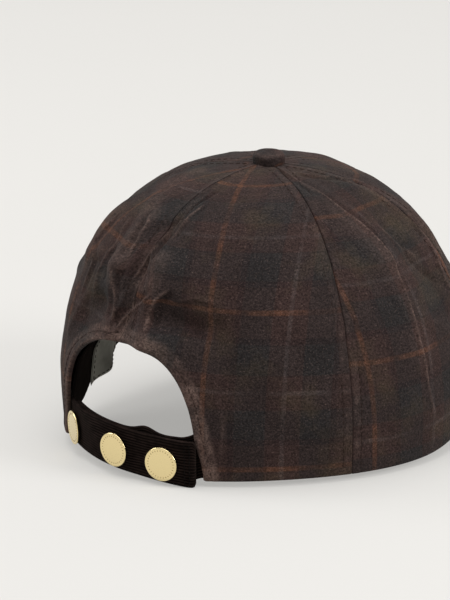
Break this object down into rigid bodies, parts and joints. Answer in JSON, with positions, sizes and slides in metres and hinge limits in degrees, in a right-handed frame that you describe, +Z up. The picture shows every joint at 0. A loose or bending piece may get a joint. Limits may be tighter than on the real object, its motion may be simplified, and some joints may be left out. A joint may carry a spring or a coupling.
{
  "type": "six-panel tartan cap with a back strap",
  "caption": "Soft waxed-cotton tartan cap with a panelled crown, stiff peak, covered top button, arched back opening and corduroy strap with brass press studs.",
  "frame": {"origin": "on the floor under the middle of the cap's box, peak and crown together", "axes": "+Z up, -Y towards the peak, +X towards the wearer's left"},
  "size_m": [0.178, 0.2558, 0.1239],
  "materials": {
    "tartan": "waxed cotton, dark brown tartan, matt with a faint sheen",
    "corduroy": "fine black-brown corduroy",
    "band_cloth": "black cotton twill tape",
    "label_cloth": "plain grey woven cloth",
    "brass": "polished, slightly worn"
  },
  "bodies": {
    "root": {"crown_panel_back_left": "tartan", "crown_panel_back_right": "tartan", "crown_panel_side_left": "tartan", "crown_panel_side_right": "tartan", "crown_panel_front_left": "tartan", "crown_panel_front_right": "tartan", "top_button": "tartan", "peak": "tartan", "sweatband": "band_cloth", "inner_label": "label_cloth", "strap_outer": "corduroy", "strap_inner": "corduroy", "press_stud_left": "brass", "press_stud_middle": "brass", "press_stud_right": "brass"}
  },
  "joints": []
}
